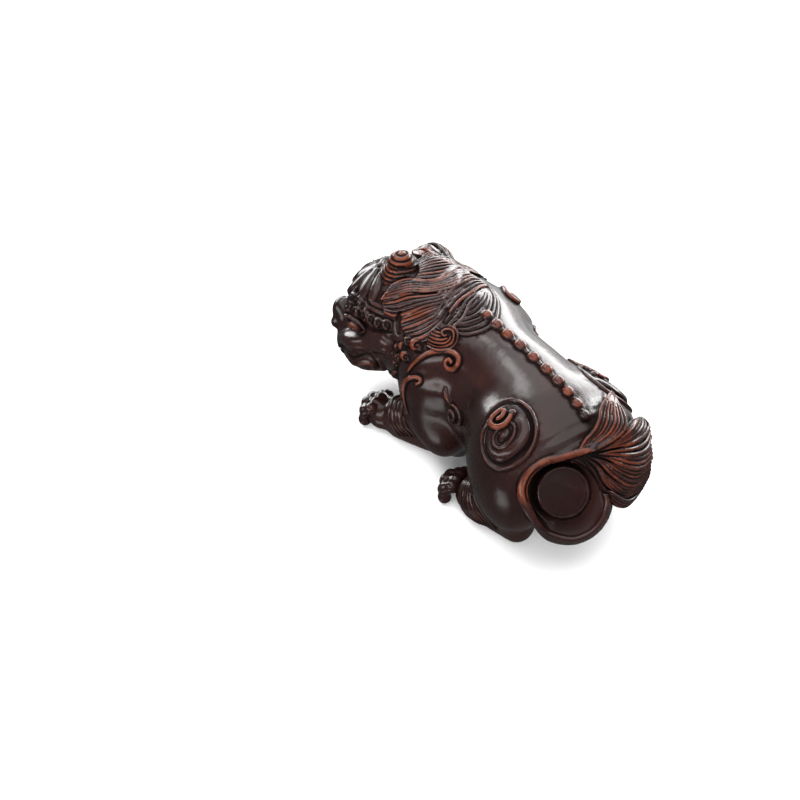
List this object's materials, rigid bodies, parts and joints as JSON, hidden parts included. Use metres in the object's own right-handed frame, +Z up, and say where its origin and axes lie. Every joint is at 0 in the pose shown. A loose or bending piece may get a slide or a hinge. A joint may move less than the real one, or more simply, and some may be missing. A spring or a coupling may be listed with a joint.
{
  "type": "pixiu figure",
  "caption": "Lying pixiu cast in one piece, head turned to its left, with curled mane, one horn, beaded spine and a coiled tail that ends in a fanned tuft.",
  "frame": {"origin": "middle of the box round the figure, on its underside", "axes": "-Y towards the chest and head, +X the figure's left, +Z up; it stands on z = 0"},
  "size_m": [0.058, 0.13, 0.065],
  "materials": {
    "lacquered_resin": "satin-gloss dark brown lacquer, rubbed back to red-brown on the raised carving"
  },
  "bodies": {
    "root": {"pixiu": "lacquered_resin"}
  },
  "joints": []
}
